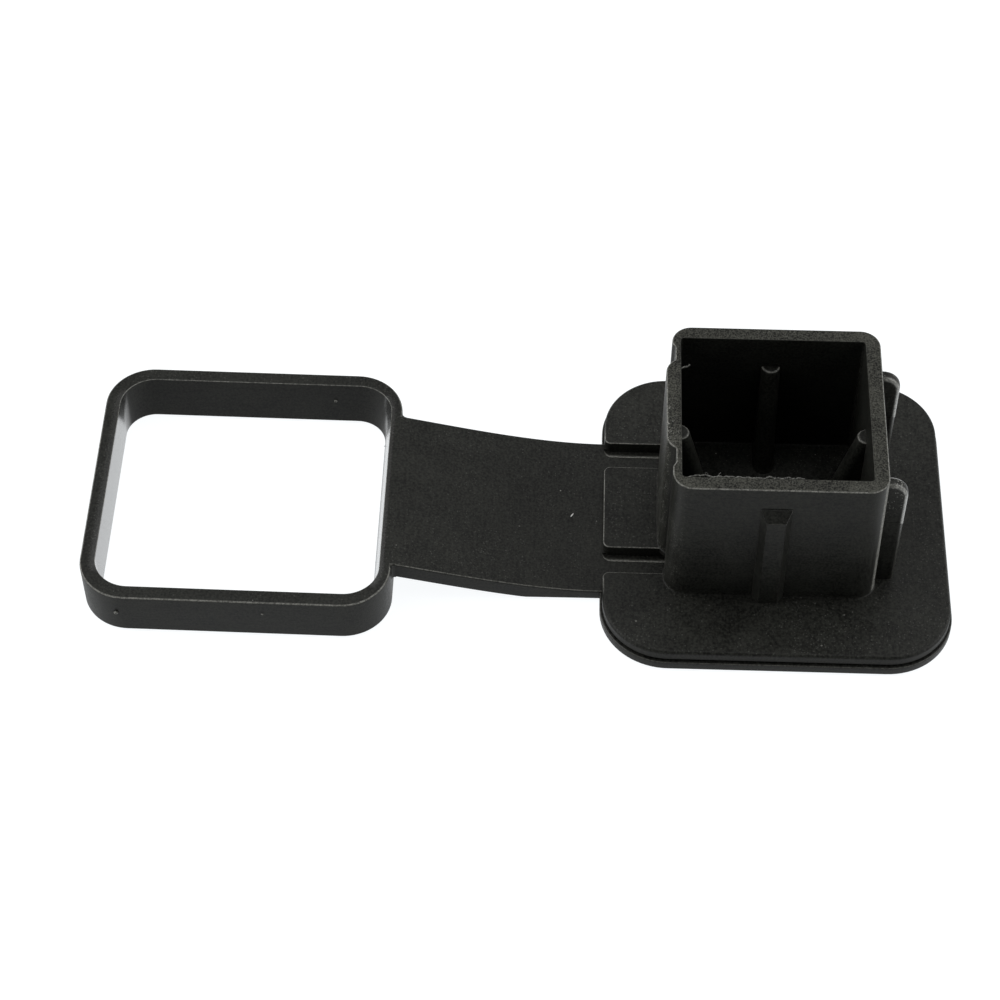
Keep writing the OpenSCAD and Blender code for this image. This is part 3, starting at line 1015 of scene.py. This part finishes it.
front_edge = [(x, -hollow_y + 0.3, rim_z - 0.25) for x in (-22.8, -16.0, -9.0, -3.0, 3.5)]
flash("rim_flash", front_edge, Thread_radius=0.0002, Raggedness=0.0018, Hairs=13, Hair_length=0.0019, Seed=14)
shred = [(-24.2, 11.7, 44.2), (-23.3, 12.2, 44.35), (-22.6, 12.4, 44.25), (-22.0, 12.8, 44.45)]
flash("rim_shred", shred, Thread_radius=0.0002, Raggedness=0.0002, Hairs=5, Hair_length=0.0005, Seed=3)
loop_edge = [(-95.15, y - 0.4, 0.35) for y in (-23.0, -12.0, 0.0, 12.0, 23.0)]
flash("loop_flash", loop_edge, Thread_radius=0.00018, Raggedness=0.0009, Hairs=26, Hair_length=0.0009, Seed=5)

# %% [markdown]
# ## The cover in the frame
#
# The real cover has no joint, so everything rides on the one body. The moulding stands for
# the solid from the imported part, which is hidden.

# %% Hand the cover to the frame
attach(cover, "root")
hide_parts("receiver_cover")
print("stands for the solid:", cover.name)

# %% [markdown]
# ## Floor, light and background
#
# The photo is a catalogue picture on pure white. A pale floor carries the object's soft
# shadow. To the camera, and in reflections, most of it is plain white. More lamps could make
# the background white too, but they would also make the rubber grey.

# %% Floor
half = 2.5
floor_points = [(-half, -half, 0), (half, -half, 0), (half, half, 0), (-half, half, 0)]
floor_mesh = bpy.data.meshes.new("floor")
floor_mesh.from_pydata(floor_points, [], [(0, 1, 2, 3)])
floor = bpy.data.objects.new("floor", floor_mesh)
floor.location.z = -0.0004
bpy.context.scene.collection.objects.link(floor)
floor_finish = bpy.data.materials.new("pale_floor")
floor_finish.use_nodes = True
ft = floor_finish.node_tree
paper = ft.nodes["Principled BSDF"]
paper.inputs["Base Color"].default_value = (0.9, 0.9, 0.9, 1)
paper.inputs["Roughness"].default_value = 0.9
white = node(ft, "ShaderNodeEmission")
white.inputs["Color"].default_value = (0.965, 0.985, 1.0, 1)
path = node(ft, "ShaderNodeLightPath")
to_camera = path.outputs["Is Camera Ray"]
white_to_camera, extra_to_camera = 0.8, 0.2
ft.links.new(plus(ft, times(ft, to_camera, extra_to_camera), 1.0), white.inputs["Strength"])
bright = math_node(ft, "MAXIMUM", path.outputs["Is Glossy Ray"], path.outputs["Is Transmission Ray"])
blend = node(ft, "ShaderNodeMixShader")
ft.links.new(math_node(ft, "MAXIMUM", bright, times(ft, to_camera, white_to_camera)), blend.inputs[0])
ft.links.new(paper.outputs[0], blend.inputs[1])
ft.links.new(white.outputs[0], blend.inputs[2])
ft.links.new(blend.outputs[0], ft.nodes["Material Output"].inputs["Surface"])
floor_mesh.materials.append(floor_finish)
print("floor in metres:", 2 * half)

# %% Lamps: one softbox overhead and one on each side
def softbox(name, place, size, watts):
    data = bpy.data.lights.new(name, "AREA")
    data.shape = "RECTANGLE"
    data.size = size[0]
    data.size_y = size[1]
    data.energy = watts
    lamp = bpy.data.objects.new(name, data)
    lamp.location = place
    lamp.rotation_euler = (lamp_aim - Vector(place)).to_track_quat("-Z", "Y").to_euler()
    bpy.context.scene.collection.objects.link(lamp)
    print(name, "watts:", watts)


lamp_aim = Vector((-0.05, 0, 0))
softbox("top_softbox", (-0.1, 0.38, 1.5), (2.6, 1.2), 13.5)
softbox("left_softbox", (-1.4, 0.05, 0.8), (1.2, 1.0), 10.0)
softbox("right_softbox", (1.3, 0.05, 0.8), (1.2, 1.0), 10.0)

# %% World: a room that is dim overhead and dark on the camera's side
world = bpy.data.worlds.new("studio")
bpy.context.scene.world = world
world.use_nodes = True
wt = world.node_tree
room = wt.nodes["Background"]
sky = node(wt, "ShaderNodeSeparateXYZ")
wt.links.new(node(wt, "ShaderNodeTexCoord").outputs["Generated"], sky.inputs["Vector"])
overhead = ramp(wt, sky.outputs["Z"], 0.0, 0.6, 0.8, 0.36)
aside = ramp(wt, math_node(wt, "ABSOLUTE", sky.outputs["X"]), 0.2, 0.8, 0.0, 1.0)
behind = ramp(wt, sky.outputs["Y"], -0.5, 0.25, 0.08, 1.0)
overhead = times(wt, overhead, math_node(wt, "MAXIMUM", aside, behind))
rays = node(wt, "ShaderNodeLightPath")
seen = math_node(wt, "MAXIMUM", rays.outputs["Is Camera Ray"], rays.outputs["Is Transmission Ray"])
wt.links.new(math_node(wt, "MAXIMUM", overhead, seen), room.inputs["Strength"])
room.inputs["Color"].default_value = (1, 1, 1, 1)
bpy.context.scene.view_settings.view_transform = "Standard"
print("world:", world.name)
